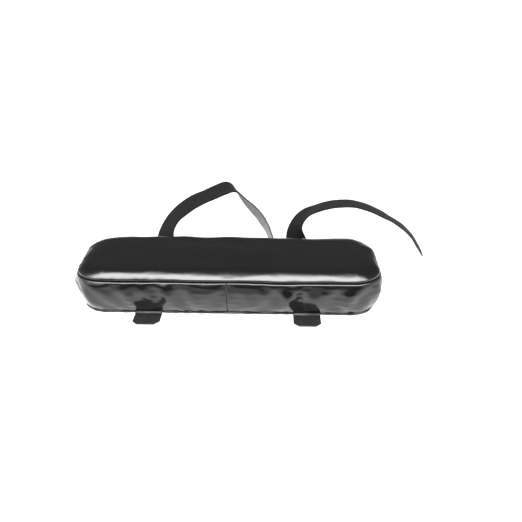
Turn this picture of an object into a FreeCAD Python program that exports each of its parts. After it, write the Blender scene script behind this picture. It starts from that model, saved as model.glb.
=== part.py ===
"""Strap-on arm pad: a zipped leathercloth cover round a foam core, with two straps and two tabs.

The pad lies flat. X runs along it, Z is up, the tabs are on the -Y side and the straps on the
+Y side. The origin is the centre of the underside. All sizes are in millimetres.
"""
import FreeCAD, Part
import math
import os

import Sketcher

SIZES = {
    # the whole pad
    "pad_length": 250.0,
    "pad_width": 80.0,
    "pad_height": 38.0,
    "plan_corner": 26.0,
    # the cover
    "skin": 1.2,
    "band_lean": 4.0,
    "seam_height": 30.4,
    "seam_gap": 0.8,
    "crown_round": 7.0,
    "panel_inset": 0.8,
    "panel_round": 1.1,
    "thread": 0.6,
    "joint_slit": 1.0,
    "joint_end": 0.4,
    # the foam
    "foam_gap": 0.3,
    "foam_floor": 1.8,
    "foam_round": 5.4,
    # the zip, which runs along X in a slot of the underside
    "zip_offset": 14.0,
    "slot_length": 200.0,
    "slot_width": 10.0,
    "hem_width": 4.0,
    "hem_top": 4.1,
    "tape_bottom": 4.2,
    "tape_thick": 0.6,
    "tape_width": 13.0,
    "tape_length": 208.0,
    "chamber_gap": 3.0,
    "centre_gap": 1.2,
    "coil_bottom": 3.0,
    "coil_thick": 1.15,
    "coil_width": 2.6,
    "coil_length": 190.0,
    "tooth": 1.0,
    "tooth_root": 0.2,
    "tooth_pitch": 3.0,
    "slider_rest": 90.0,
    "slider_length": 9.0,
    "slider_width": 8.8,
    "slider_plate": 0.8,
    "slider_corner": 1.5,
    "stop_gap": 0.5,
    "slider_bottom": 2.1,
    "slider_top": 4.9,
    "flange": 1.0,
    "post_width": 0.9,
    "post_length": 3.0,
    "bail_bottom": 0.35,
    "bail_bar": 0.6,
    "bail_width": 1.6,
    "bail_length": 6.0,
    "pull_length": 24.0,
    "pull_width": 6.0,
    "pull_thick": 0.9,
    "pull_pin_height": 1.5,
    "pull_eye": 2.4,
    "stop_length": 2.5,
    "zip_thread": 0.4,
    "thread_gap": 0.05,
    "row_end": 1.0,
    # straps and tabs
    "strap_station": 64.0,
    "strap_width": 22.0,
    "strap_thick": 1.4,
    "strap_axis": 36.9,
    "strap_length": 202.3,
    "tab_length": 16.0,
    "tab_width": 22.0,
    "tab_thick": 1.2,
    "tab_axis": 36.8,
    "tab_clip": 4.0,
}

# Centre line of each strap, from the seam to the free end, and the direction across its width.
# Each strap leaves the seam flat, turns on edge as it rises, and comes down to the floor.
LEFT_ROUTE = [
    ((-64.0, 36.9, 0.7), (1.0, 0.0, 0.0)),
    ((-64.5, 50.0, 2.5), (1.0, 0.0, 0.0)),
    ((-65.5, 60.0, 7.0), (0.97, -0.2, 0.05)),
    ((-66.5, 68.5, 19.0), (0.8, -0.6, 0.1)),
    ((-61.3, 73.0, 33.0), (0.47, -0.88, -0.1)),
    ((-51.5, 75.0, 43.5), (0.29, -0.92, -0.24)),
    ((-40.5, 75.5, 51.5), (0.19, -0.95, -0.26)),
    ((-28.5, 76.0, 57.5), (0.14, -0.97, -0.22)),
    ((-17.0, 76.5, 62.5), (0.15, -0.96, -0.22)),
    ((-6.0, 77.0, 66.0), (0.02, -0.99, -0.12)),
    ((1.0, 77.0, 64.0), (0.13, -0.97, 0.21)),
    ((7.0, 77.0, 57.0), (0.32, -0.92, 0.22)),
    ((15.5, 77.0, 46.5), (0.42, -0.84, 0.35)),
    ((26.5, 77.0, 31.5), (0.41, -0.87, 0.25)),
    ((34.0, 77.0, 14.0), (0.31, -0.94, 0.11)),
    ((38.5, 77.0, -5.0), (0.23, -0.97, 0.06)),
]
RIGHT_ROUTE = [
    ((64.0, 36.9, 0.7), (1.0, 0.0, 0.0)),
    ((64.0, 50.0, 2.5), (1.0, 0.0, 0.0)),
    ((62.0, 61.0, 8.0), (0.97, -0.2, 0.05)),
    ((57.5, 67.5, 18.0), (0.85, -0.5, 0.1)),
    ((57.0, 71.5, 28.5), (0.55, -0.82, 0.1)),
    ((61.5, 74.0, 37.0), (0.22, -0.96, 0.0)),
    ((72.0, 75.0, 45.0), (0.01, -1.0, 0.04)),
    ((88.0, 75.5, 50.5), (0.01, -1.0, 0.07)),
    ((104.0, 76.0, 52.0), (0.05, -1.0, 0.07)),
    ((119.0, 77.0, 49.5), (0.08, -1.0, 0.04)),
    ((134.0, 78.0, 43.5), (0.08, -1.0, 0.03)),
    ((148.0, 79.0, 35.0), (0.1, -0.99, 0.04)),
    ((161.0, 80.0, 26.0), (0.08, -1.0, 0.0)),
    ((172.5, 81.0, 13.1), (0.01, -1.0, -0.07)),
    ((183.0, 82.0, -1.7), (0.01, -1.0, -0.07)),
]
STRAP_SECTIONS = 26

doc = FreeCAD.newDocument("arm_pad")
sheet = doc.addObject("Spreadsheet::Sheet", "sizes")
for row, (alias, value) in enumerate(SIZES.items(), start=1):
    sheet.set(f"A{row}", alias)
    sheet.set(f"B{row}", str(value))
    sheet.setAlias(f"B{row}", alias)
doc.recompute()

NODES = []


def size(alias):
    """A driving size, read from the sheet."""
    return float(sheet.get(alias))


def bound(expression):
    """The expression with every alias pointed at the sheet."""
    words = expression.split()
    return " ".join(f"sizes.{word}" if word in SIZES else word for word in words)


def new_body(name):
    """A body for one sub-part, which is also one node."""
    body = doc.addObject("PartDesign::Body", name)
    body.Label = name
    NODES.append(body)
    return body


def plane_of(body, role):
    """One of the body's own origin planes."""
    return next(f for f in body.Origin.OriginFeatures if f.Role == role)


def new_sketch(body, name, role, offsets):
    """A sketch on one of the body's planes, moved by the offsets along its own x, y and normal."""
    sketch = body.newObject("Sketcher::SketchObject", name)
    sketch.AttachmentSupport = [(plane_of(body, role), "")]
    sketch.MapMode = "FlatFace"
    for axis, offset in zip("xyz", offsets):
        sketch.setExpression(f".AttachmentOffset.Base.{axis}", bound(offset))
    return sketch


def name_size(sketch, name, constraint, expression):
    """Add one dimension to the sketch and bind it to the sheet."""
    index = sketch.addConstraint(constraint)
    sketch.renameConstraint(index, name)
    sketch.setExpression(f".Constraints.{name}", bound(expression))


def rectangle(body, name, length, width, corner="", at=("0", "0", "0"), role="XY_Plane"):
    """A centred rectangle, with round corners where a corner radius is given."""
    sketch = new_sketch(body, name, role, at)
    far, near, reach = 30.0, 20.0, 10.0
    corners = [(-1, -1), (1, -1), (1, 1), (-1, 1)]
    if not corner:
        reach = 0.0
    for (x0, y0), (x1, y1) in zip(corners, corners[1:] + corners[:1]):
        along_x = y0 == y1
        start = FreeCAD.Vector(x0 * (far - reach * along_x), y0 * (near - reach * (not along_x)), 0)
        end = FreeCAD.Vector(x1 * (far - reach * along_x), y1 * (near - reach * (not along_x)), 0)
        sketch.addGeometry(Part.LineSegment(start, end), False)
    for line in (0, 2):
        sketch.addConstraint(Sketcher.Constraint("Horizontal", line))
        sketch.addConstraint(Sketcher.Constraint("Vertical", line + 1))
    if corner:
        for turn, (x, y) in enumerate(corners[1:] + corners[:1]):
            centre = FreeCAD.Vector(x * (far - reach), y * (near - reach), 0)
            circle = Part.Circle(centre, FreeCAD.Vector(0, 0, 1), reach)
            first = math.radians(90 * turn - 90)
            sketch.addGeometry(Part.ArcOfCircle(circle, first, first + math.pi / 2), False)
        for side in range(4):
            arc = 4 + side
            sketch.addConstraint(Sketcher.Constraint("Tangent", side, 2, arc, 1))
            sketch.addConstraint(Sketcher.Constraint("Tangent", arc, 2, (side + 1) % 4, 1))
        for arc in (5, 6, 7):
            sketch.addConstraint(Sketcher.Constraint("Equal", 4, arc))
        name_size(sketch, "corner", Sketcher.Constraint("Radius", 4, reach), corner)
    else:
        for side in range(4):
            sketch.addConstraint(Sketcher.Constraint("Coincident", side, 2, (side + 1) % 4, 1))
    sketch.addConstraint(Sketcher.Constraint("Symmetric", 0, 1, 2, 1, -1, 1))
    name_size(sketch, "length", Sketcher.Constraint("DistanceX", 3, 1, 1, 1, 2 * far), length)
    name_size(sketch, "width", Sketcher.Constraint("DistanceY", 0, 1, 2, 1, 2 * near), width)
    return sketch


def circle(body, name, diameter, at, role):
    """A round profile."""
    sketch = new_sketch(body, name, role, at)
    normal = FreeCAD.Vector(0, 0, 1)
    sketch.addGeometry(Part.Circle(FreeCAD.Vector(0, 0, 0), normal, 1.0), False)
    sketch.addConstraint(Sketcher.Constraint("Coincident", 0, 3, -1, 1))
    name_size(sketch, "diameter", Sketcher.Constraint("Diameter", 0, 2.0), diameter)
    return sketch


def pad(body, sketch, length, midplane=False):
    """Raise the sketch along its normal."""
    feature = body.newObject("PartDesign::Pad", f"{sketch.Name}_pad")
    feature.Profile = sketch
    feature.setExpression("Length", bound(length))
    if midplane:
        feature.SideType = "Symmetric"
    doc.recompute()
    return feature


def pocket(body, sketch, length):
    """Cut upwards from the sketch, and make sure that something was cut."""
    before = body.Shape.Volume
    feature = body.newObject("PartDesign::Pocket", f"{sketch.Name}_pocket")
    feature.Profile = sketch
    feature.Reversed = True
    feature.setExpression("Length", bound(length))
    doc.recompute()
    if body.Shape.Volume > before - 1e-6:
        raise RuntimeError(f"{feature.Name} cuts nothing")
    return feature


def loft(body, kind, lower, upper):
    """A straight-sided loft between two outlines."""
    feature = body.newObject(f"PartDesign::{kind}", f"{lower.Name}_loft")
    feature.Profile = lower
    feature.Sections = [upper]
    feature.Ruled = True
    doc.recompute()
    return feature


def edges_at(shape, height):
    """Names of the edges that lie level at one height."""
    names = []
    for index, edge in enumerate(shape.Edges, start=1):
        limits = edge.BoundBox
        level = abs(limits.ZMin - height) < 1e-4 and abs(limits.ZMax - height) < 1e-4
        if level:
            names.append(f"Edge{index}")
    return names


def dress(body, kind, base, edges, prop, expression):
    """A fillet or chamfer on named edges."""
    feature = body.newObject(f"PartDesign::{kind}", f"{body.Name}_{kind.lower()}")
    feature.Base = (base, edges)
    feature.setExpression(prop, bound(expression))
    doc.recompute()
    return feature


def make_side_band():
    """The strip round the side, leaning in towards the underside, with its ends 1 mm apart."""
    body = new_body("side_band")
    low, high = "skin + seam_gap", "seam_height - seam_gap / 2"
    for kind, label, wall in (("AdditiveLoft", "outer", "0"), ("SubtractiveLoft", "inner", "skin")):
        lower = rectangle(
            body,
            f"band_{label}_low",
            f"pad_length - 2 * ( band_lean + {wall} )",
            f"pad_width - 2 * ( band_lean + {wall} )",
            f"plan_corner - band_lean - {wall}",
            ("0", "0", low),
        )
        upper = rectangle(
            body,
            f"band_{label}_high",
            f"pad_length - 2 * {wall}",
            f"pad_width - 2 * {wall}",
            f"plan_corner - {wall}",
            ("0", "0", high),
        )
        loft(body, kind, lower, upper)
    slit = rectangle(body, "band_slit", "joint_slit", "pad_width / 2", at=("0", "- pad_width / 2", "0"))
    pocket(body, slit, "pad_height")


def make_top_panel():
    """The crowned top, a skin that is open underneath."""
    body = new_body("top_panel")
    low = "seam_height + seam_gap / 2"
    plan = rectangle(
        body, "top_outline", "pad_length", "pad_width", "plan_corner", ("0", "0", low)
    )
    block = pad(body, plan, f"pad_height - ( {low} )")
    rim = edges_at(block.Shape, size("pad_height"))
    crown = dress(body, "Fillet", block, rim, "Radius", "crown_round")
    base = size("seam_height") + size("seam_gap") / 2
    faces = [
        f"Face{index}"
        for index, face in enumerate(crown.Shape.Faces, start=1)
        if abs(face.BoundBox.ZMax - base) < 1e-4
    ]
    skin = body.newObject("PartDesign::Thickness", "top_skin")
    skin.Base = (crown, faces)
    skin.Reversed = True
    skin.setExpression("Value", bound("skin"))
    doc.recompute()


def make_bottom_panel():
    """The underside, with a slot for the zip and a turned hem round the slot."""
    body = new_body("bottom_panel")
    inset = "( band_lean + panel_inset )"
    plan = rectangle(
        body,
        "bottom_outline",
        f"pad_length - 2 * {inset}",
        f"pad_width - 2 * {inset}",
        f"plan_corner - {inset}",
    )
    plate = pad(body, plan, "skin")
    dress(body, "Fillet", plate, edges_at(plate.Shape, 0.0), "Radius", "panel_round")
    hem = rectangle(
        body,
        "hem_outline",
        "slot_length + 2 * hem_width",
        "slot_width + 2 * hem_width",
        at=("0", "zip_offset", "skin / 2"),
    )
    pad(body, hem, "hem_top - skin / 2")
    slot = rectangle(
        body, "zip_slot", "slot_length", "slot_width", at=("0", "zip_offset", "- skin")
    )
    pocket(body, slot, "pad_height")


def make_foam_core():
    """One block of foam that fills the cover, with a chamber over the zip."""
    body = new_body("foam_core")
    wall = "( skin + foam_gap )"
    lower = rectangle(
        body,
        "foam_low",
        f"pad_length - 2 * ( band_lean + {wall} )",
        f"pad_width - 2 * ( band_lean + {wall} )",
        f"plan_corner - band_lean - {wall}",
        ("0", "0", "foam_floor"),
    )
    plan = (f"pad_length - 2 * {wall}", f"pad_width - 2 * {wall}", f"plan_corner - {wall}")
    upper = rectangle(body, "foam_high", *plan, ("0", "0", "seam_height"))
    loft(body, "AdditiveLoft", lower, upper)
    crown = rectangle(body, "foam_crown", *plan, ("0", "0", "seam_height"))
    block = pad(body, crown, f"pad_height - seam_height - {wall}")
    top = size("pad_height") - size("skin") - size("foam_gap")
    rim = edges_at(block.Shape, top)
    dress(body, "Fillet", block, rim, "Radius", "foam_round")
    chamber = rectangle(
        body,
        "zip_chamber",
        "tape_length + 2 * chamber_gap",
        "2 * ( tape_width + chamber_gap )",
        at=("0", "zip_offset", "0"),
    )
    pocket(body, chamber, "slider_top + slider_plate + foam_gap * 3")


def make_seam_thread(name, height, inset):
    """A closed loop of thread inside one of the two long seams."""
    body = new_body(name)
    path = rectangle(
        body,
        f"{name}_path",
        f"pad_length - 2 * ( {inset} )",
        f"pad_width - 2 * ( {inset} )",
        f"plan_corner - ( {inset} )",
        ("0", "0", height),
    )
    start = "- pad_length / 2 + plan_corner"
    section = circle(
        body, f"{name}_section", "thread", (f"{inset} - pad_width / 2", height, start), "YZ_Plane"
    )
    sweep = body.newObject("PartDesign::AdditivePipe", f"{name}_sweep")
    sweep.Profile = section
    sweep.Spine = (path, [f"Edge{index}" for index in range(1, 9)])
    doc.recompute()


def make_joint_thread():
    """The thread that closes the two ends of the side band, parallel to the leaning wall."""
    half_width = size("pad_width") / 2 - size("skin") / 2
    low_height = size("skin") + size("seam_gap") + size("joint_end")
    high_height = size("seam_height") - size("seam_gap") / 2 - size("joint_end")
    low = FreeCAD.Vector(0, size("band_lean") - half_width, low_height)
    high = FreeCAD.Vector(0, -half_width, high_height)
    thread = doc.addObject("Part::Cylinder", "band_joint_thread")
    thread.Label = "band_joint_thread"
    thread.setExpression("Radius", bound("thread / 2"))
    thread.Height = (high - low).Length
    thread.Placement = FreeCAD.Placement(
        low, FreeCAD.Rotation(FreeCAD.Vector(0, 0, 1), high - low)
    )
    NODES.append(thread)


def box(name, length, width, height, at):
    """A plain block whose low corner is at the given place."""
    block = doc.addObject("Part::Box", name)
    block.Label = name
    for prop, expression in (("Length", length), ("Width", width), ("Height", height)):
        block.setExpression(prop, bound(expression))
    for axis, place in zip("xyz", at):
        block.setExpression(f".Placement.Base.{axis}", bound(place))
    return block


def group(name, parts):
    """Several identical solids as one node."""
    compound = doc.addObject("Part::Compound", name)
    compound.Label = name
    compound.Links = parts
    NODES.append(compound)


def make_zip_tapes():
    """The two woven tapes, either side of the chain."""
    for name, near in (
        ("zipper_tape_front", "zip_offset - centre_gap / 2 - tape_width"),
        ("zipper_tape_rear", "zip_offset + centre_gap / 2"),
    ):
        tape = box(
            name,
            "tape_length",
            "tape_width",
            "tape_thick",
            ("- tape_length / 2", near, "tape_bottom"),
        )
        NODES.append(tape)


def make_zip_coil(name, side, shift):
    """One row of the chain: a strip on the tape's edge with teeth that face the other row."""
    body = new_body(name)
    middle = "( centre_gap / 2 + coil_width / 2 + tooth / 2 )"
    strip = rectangle(
        body,
        f"{name}_strip",
        "coil_length",
        "coil_width - tooth",
        at=("0", f"zip_offset {side} {middle}", "coil_bottom"),
    )
    pad(body, strip, "coil_thick")
    first = rectangle(
        body,
        f"{name}_tooth",
        "tooth_pitch / 2",
        "tooth + tooth_root",
        at=(
            f"- coil_length / 2 + tooth_pitch * {shift}",
            f"zip_offset {side} ( centre_gap + tooth + tooth_root ) / 2",
            "coil_bottom",
        ),
    )
    tooth = pad(body, first, "coil_thick")
    row = body.newObject("PartDesign::LinearPattern", f"{name}_teeth")
    row.Originals = [tooth]
    row.Direction = (first, ["H_Axis"])
    count = int(size("coil_length") / size("tooth_pitch")) - 1
    row.Occurrences = count
    row.Length = size("tooth_pitch") * (count - 1)
    body.Tip = row
    doc.recompute()


def make_zip_slider():
    """Two plates joined by a post between the rows, side flanges, and a bail for the pull."""
    body = new_body("zipper_slider")
    at = ("slider_rest", "zip_offset")
    plate = ("slider_length", "slider_width")
    lower = rectangle(body, "outer_plate", *plate, "slider_corner", (*at, "slider_bottom"))
    pad(body, lower, "slider_plate")
    post = rectangle(body, "post", "post_length", "post_width", at=(*at, "slider_bottom"))
    pad(body, post, "slider_top - slider_bottom + slider_plate / 2")
    upper = rectangle(body, "inner_plate", *plate, "slider_corner", (*at, "slider_top"))
    pad(body, upper, "slider_plate")
    for label, side in (("front", "-"), ("rear", "+")):
        place = f"zip_offset {side} ( slider_width - flange ) / 2"
        wall = rectangle(
            body,
            f"flange_{label}",
            "slider_length - 2 * slider_corner",
            "flange",
            at=("slider_rest", place, "slider_bottom"),
        )
        pad(body, wall, "hem_top - slider_bottom")
    for label, side in (("near", "-"), ("far", "+")):
        place = f"slider_rest {side} ( bail_length - bail_bar * 2 ) / 2"
        leg = rectangle(
            body,
            f"bail_leg_{label}",
            "bail_bar * 2",
            "bail_width",
            at=(place, "zip_offset", "bail_bottom"),
        )
        pad(body, leg, "slider_bottom - bail_bottom + slider_plate / 2")
    bar = rectangle(
        body, "bail_bar_outline", "bail_length", "bail_width", at=(*at, "bail_bottom")
    )
    pad(body, bar, "bail_bar")


def make_zip_pull():
    """A flat pull whose pin lies inside the slider's bail."""
    body = new_body("zipper_pull")
    leaf = rectangle(
        body,
        "pull_leaf",
        "pull_length",
        "pull_width",
        "slider_corner",
        ("slider_rest - pull_length / 2", "zip_offset", "pull_pin_height - pull_thick / 2"),
    )
    pad(body, leaf, "pull_thick")
    eye = rectangle(
        body,
        "pull_eye_outline",
        "2 * bail_length",
        "pull_eye",
        at=("slider_rest", "zip_offset", "0"),
    )
    pocket(body, eye, "pad_height")
    place = ("slider_rest", "pull_pin_height", "- zip_offset")
    pin = circle(body, "pull_pin", "pull_thick", place, "XZ_Plane")
    pad(body, pin, "pull_width", midplane=True)


def make_zip_stops():
    """Two stops where the closed slider ends, and one that joins the tapes at the far end."""
    stops = []
    for label, near in (
        ("front", "zip_offset - centre_gap / 2 - coil_width"),
        ("rear", "zip_offset + centre_gap / 2"),
    ):
        at = ("coil_length / 2 + stop_gap", near, "coil_bottom")
        stops.append(box(f"stop_{label}", "stop_length", "coil_width", "coil_thick", at))
    group("zipper_top_stops", stops)
    bottom = box(
        "zipper_bottom_stop",
        "stop_length",
        "2 * coil_width + centre_gap",
        "coil_thick",
        (
            "- coil_length / 2 - stop_gap - stop_length",
            "zip_offset - centre_gap / 2 - coil_width",
            "coil_bottom",
        ),
    )
    NODES.append(bottom)


def make_zip_thread():
    """The two rows of stitching that hold the tapes to the hem."""
    rows = []
    for label, side in (("front", "-"), ("rear", "+")):
        row = doc.addObject("Part::Cylinder", f"stitch_row_{label}")
        row.setExpression("Radius", bound("zip_thread / 2"))
        row.setExpression("Height", bound("tape_length - 2 * row_end"))
        row.Placement.Rotation = FreeCAD.Rotation(FreeCAD.Vector(0, 1, 0), 90)
        for axis, place in (
            ("x", "row_end - tape_length / 2"),
            ("y", f"zip_offset {side} ( slot_width + hem_width ) / 2"),
            ("z", "tape_bottom + tape_thick + thread_gap + zip_thread / 2"),
        ):
            row.setExpression(f".Placement.Base.{axis}", bound(place))
        rows.append(row)
    group("zipper_stitching", rows)


def strap_section(centre, tangent, across):
    """One rectangular section of a strap, square to its route."""
    across = (across - tangent * across.dot(tangent)).normalize() * (size("strap_width") / 2)
    through = tangent.cross(across).normalize() * (size("strap_thick") / 2)
    corners = [
        centre + across * a + through * t for a, t in ((-1, -1), (1, -1), (1, 1), (-1, 1))
    ]
    return Part.makePolygon(corners + corners[:1])


def make_strap(name, route):
    """A strap along its route, with a round root on the hinge line of the rear seam."""
    curve = Part.BSplineCurve()
    curve.interpolate([FreeCAD.Vector(*point) for point, _ in route])
    start = curve.FirstParameter
    marks = [curve.length(start, curve.parameter(FreeCAD.Vector(*point))) for point, _ in route]
    if marks[-1] < size("strap_length"):
        raise RuntimeError(f"the route of {name} is only {marks[-1]:.1f} mm long")
    sections = []
    for index in range(STRAP_SECTIONS):
        distance = size("strap_length") * index / (STRAP_SECTIONS - 1)
        span = max(i for i in range(len(marks) - 1) if marks[i] <= distance)
        share = (distance - marks[span]) / (marks[span + 1] - marks[span])
        before, after = (FreeCAD.Vector(*route[span + i][1]) for i in (0, 1))
        parameter = curve.parameterAtDistance(distance, start)
        sections.append(
            strap_section(
                curve.value(parameter),
                FreeCAD.Vector(*curve.tangent(parameter)[0]),
                before * (1 - share) + after * share,
            )
        )
    pieces = [Part.makeLoft(list(pair), True, True) for pair in zip(sections, sections[1:])]
    root = Part.makeCylinder(
        size("strap_thick") / 2,
        size("strap_width"),
        FreeCAD.Vector(*route[0][0]) - FreeCAD.Vector(size("strap_width") / 2, 0, 0),
        FreeCAD.Vector(1, 0, 0),
    )
    strap = doc.addObject("Part::Feature", name)
    strap.Label = name
    strap.Shape = root.multiFuse(pieces)
    strap.Placement = FreeCAD.Placement()
    NODES.append(strap)
    print(name, "route", round(marks[-1], 1), "mm, lowest corner of the tip",
          round(min(v.Z for v in sections[-1].Vertexes), 2))


def make_tab(name, station):
    """A short tab that lies on the floor, with a round root and clipped end corners."""
    body = new_body(name)
    plan = rectangle(
        body,
        f"{name}_outline",
        "tab_width",
        "tab_length + tab_thick / 2",
        at=(station, "- tab_axis - tab_length / 2 + tab_thick / 4", "0"),
    )
    leaf = pad(body, plan, "tab_thick")
    far = -size("tab_axis") - size("tab_length")

    def at_far_end(edge):
        limits = edge.BoundBox
        return abs(limits.YMax - far) < 1e-4 and limits.ZLength > 1e-4

    clipped = [
        f"Edge{i}" for i, edge in enumerate(leaf.Shape.Edges, start=1) if at_far_end(edge)
    ]
    ends = dress(body, "Chamfer", leaf, clipped, "Size", "tab_clip")
    near = -size("tab_axis") + size("tab_thick") / 2
    rounded = [
        f"Edge{i}"
        for i, edge in enumerate(ends.Shape.Edges, start=1)
        if abs(edge.BoundBox.YMin - near) < 1e-4 and edge.BoundBox.XLength > 1
    ]
    dress(body, "Fillet", ends, rounded, "Radius", "tab_thick * 0.499")


def check_model():
    """Stop if any object failed or any node's shape is unusable."""
    failed = [o.Name for o in doc.Objects if {"Invalid", "Error"} & set(o.State)]
    bad = [n.Label for n in NODES if n.Shape.isNull() or not n.Shape.isValid()]
    if failed or bad:
        raise RuntimeError(f"failed objects {failed}, bad shapes {bad}")


def main():
    make_side_band()
    make_top_panel()
    make_bottom_panel()
    make_foam_core()
    make_seam_thread("top_seam_thread", "seam_height", "skin / 2")
    make_seam_thread("bottom_seam_thread", "skin + seam_gap / 2", "band_lean + skin / 2")
    make_joint_thread()
    make_zip_tapes()
    make_zip_coil("zipper_coil_front", "-", "1")
    make_zip_coil("zipper_coil_rear", "+", "1.5")
    make_zip_stops()
    make_zip_thread()
    make_zip_slider()
    make_zip_pull()
    make_strap("strap_left", LEFT_ROUTE)
    make_strap("strap_right", RIGHT_ROUTE)
    make_tab("tab_left", "- strap_station")
    make_tab("tab_right", "strap_station")
    doc.recompute()
    check_model()
    os.makedirs("parts", exist_ok=True)
    for node in NODES:
        node.Shape.exportStep(f"parts/{node.Label}.step")
        ends = node.Shape.optimalBoundingBox()
        limits = (ends.XMin, ends.XMax, ends.YMin, ends.YMax, ends.ZMin, ends.ZMax)
        print(node.Label, len(node.Shape.Solids), round(node.Shape.Volume, 1),
              [round(limit, 2) for limit in limits])


main()
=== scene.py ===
"""Strap-on armrest pad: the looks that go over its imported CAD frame.

Lengths are in millimetres in the CAD frame until mesh_piece() turns them into metres.
"""
import math

import bpy
import numpy as np
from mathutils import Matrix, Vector


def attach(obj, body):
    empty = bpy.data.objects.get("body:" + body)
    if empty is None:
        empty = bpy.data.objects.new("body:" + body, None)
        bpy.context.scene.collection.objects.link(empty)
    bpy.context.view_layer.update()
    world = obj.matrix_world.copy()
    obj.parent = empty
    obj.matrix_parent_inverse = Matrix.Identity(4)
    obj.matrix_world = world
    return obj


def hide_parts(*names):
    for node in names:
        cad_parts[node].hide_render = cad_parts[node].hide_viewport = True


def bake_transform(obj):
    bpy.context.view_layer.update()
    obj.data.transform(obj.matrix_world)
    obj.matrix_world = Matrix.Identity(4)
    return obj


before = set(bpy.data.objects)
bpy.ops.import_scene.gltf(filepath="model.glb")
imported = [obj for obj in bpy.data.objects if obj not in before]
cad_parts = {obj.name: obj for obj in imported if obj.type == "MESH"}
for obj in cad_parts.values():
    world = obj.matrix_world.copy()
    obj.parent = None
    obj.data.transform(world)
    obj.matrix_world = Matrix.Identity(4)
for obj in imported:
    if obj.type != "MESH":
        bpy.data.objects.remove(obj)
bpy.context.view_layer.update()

MM = 0.001
scene = bpy.context.scene


# ---------------------------------------------------------------- plan of the pad

HALF_LENGTH, HALF_WIDTH = 125.0, 40.0
CORNER = 26.0
HALF_X = HALF_LENGTH - CORNER
HALF_Y = HALF_WIDTH - CORNER
EDGE_SLACK = 1e-9
ARC = CORNER * math.pi / 2
AROUND = 4 * (HALF_X + HALF_Y) + 4 * ARC
LONG_SIDE = 2 * HALF_X + ARC
SHORT_SIDE = 2 * HALF_Y + ARC
FIRST_DIAGONAL = -(HALF_X + ARC / 2)


def plan(along):
    """Corner-arc centres and outward directions at distances round the plan from front centre."""
    along = np.mod(np.asarray(along, float), AROUND)
    spans = [HALF_X, ARC, 2 * HALF_Y, ARC, 2 * HALF_X, ARC, 2 * HALF_Y, ARC, HALF_X]
    corners = [(HALF_X, -HALF_Y), (HALF_X, HALF_Y), (-HALF_X, HALF_Y), (-HALF_X, -HALF_Y)]
    centre = np.zeros((len(along), 2))
    angle = np.zeros(len(along))
    start = 0.0
    for index, span in enumerate(spans):
        inside = (along >= start - EDGE_SLACK) & (along <= start + span + EDGE_SLACK)
        run = along[inside] - start
        turn = index // 2
        if index % 2:
            centre[inside] = corners[turn]
            angle[inside] = math.radians(90 * turn - 90) + run / CORNER
        else:
            heading = math.radians(90 * turn)
            begin = (0.0, -HALF_Y) if index == 0 else corners[turn - 1]
            centre[inside, 0] = begin[0] + run * math.cos(heading)
            centre[inside, 1] = begin[1] + run * math.sin(heading)
            angle[inside] = heading - math.pi / 2
        start += span
    return centre, np.stack([np.cos(angle), np.sin(angle)], axis=1)


def sideways(outward):
    """Directions along the outline, to the left of the outward ones."""
    return np.stack([-outward[:, 1], outward[:, 0]], axis=1)


def unit(vectors):
    """Rows of vectors at length 1."""
    return vectors / np.linalg.norm(vectors, axis=1, keepdims=True)


def run_along(points):
    """Distances from the first point along a line of points."""
    return np.concatenate([[0], np.cumsum(np.linalg.norm(np.diff(points, axis=0), axis=1))])


def around(along, inset, height):
    """Points of shape (rows, columns, 3) for insets and heights of shape (rows, columns)."""
    centre, outward = plan(along)
    flat = centre[None] + (CORNER - inset)[..., None] * outward[None]
    return np.concatenate([flat, height[..., None]], axis=2)


def side_by_side(long_count, short_count):
    """Distances of columns from one diagonal round to it, with the same count on opposite sides."""
    parts, start = [], FIRST_DIAGONAL
    for length, count in ((LONG_SIDE, long_count), (SHORT_SIDE, short_count)) * 2:
        parts.append(start + length * np.arange(count) / count)
        start += length
    return np.concatenate(parts)


# ---------------------------------------------------------------- noise and interpolation

def waves(seed, along, across, lengths, count=26, slant=0.7):
    """Smooth noise of about unit size, periodic round the pad, from seeded waves."""
    draw = np.random.default_rng(seed)
    total = np.zeros(np.broadcast(along, across).shape)
    low, high = lengths
    for _ in range(count):
        length = low * (high / low) ** draw.random()
        turns = max(1, round(AROUND / length)) * draw.choice([-1, 1])
        lean = draw.normal() * slant / length
        total = total + np.cos(
            2 * math.pi * (turns * along / AROUND + lean * across + draw.random())
        )
    return total / math.sqrt(count / 2)


def cubic(values, places, periodic):
    """Catmull-Rom interpolation of values along their first axis at fractional places."""
    count = len(values)
    base = np.floor(places).astype(int)
    if not periodic:
        base = np.clip(base, 0, count - 2)
    part = (places - base).reshape((-1,) + (1,) * (values.ndim - 1))
    picks = [base + shift for shift in (-1, 0, 1, 2)]
    if periodic:
        picks = [pick % count for pick in picks]
    else:
        picks = [np.clip(pick, 0, count - 1) for pick in picks]
    a, b, c, d = (values[pick] for pick in picks)
    return b + 0.5 * part * (
        c - a + part * (2 * a - 5 * b + 4 * c - d + part * (3 * (b - c) + d - a))
    )


def smooth(x, low, high):
    """0 below low, 1 above high, and smooth between."""
    t = np.clip((x - low) / (high - low), 0, 1)
    return t * t * (3 - 2 * t)


# ---------------------------------------------------------------- profiles of the cover

TOP_FLAT = 37.7
RIM = 1.3
SEAM_GAP = 0.3
TOP_EDGE = 2.1
TOP_SEAM = 30.4
BOTTOM_SEAM = 2.05
RING = 20.0
SOFT_CROWN = 23.5
TIGHT_CROWN = 13.0


def arc(centre, radius, first, last, count):
    """Inset and height along an arc, by the angle of its outward normal above level."""
    turn = np.radians(np.linspace(first, last, count))
    return np.stack([centre[0] - radius * np.cos(turn), centre[1] + radius * np.sin(turn)], axis=1)


def crown_fit(crown):
    """Tilt at which a crown of this radius meets the seam's rim, and its centre's inset."""
    tilt = math.asin((TOP_SEAM + SEAM_GAP + RIM - (TOP_FLAT - crown)) / (crown - RIM))
    return tilt, TOP_EDGE + crown * math.cos(tilt)


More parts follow.
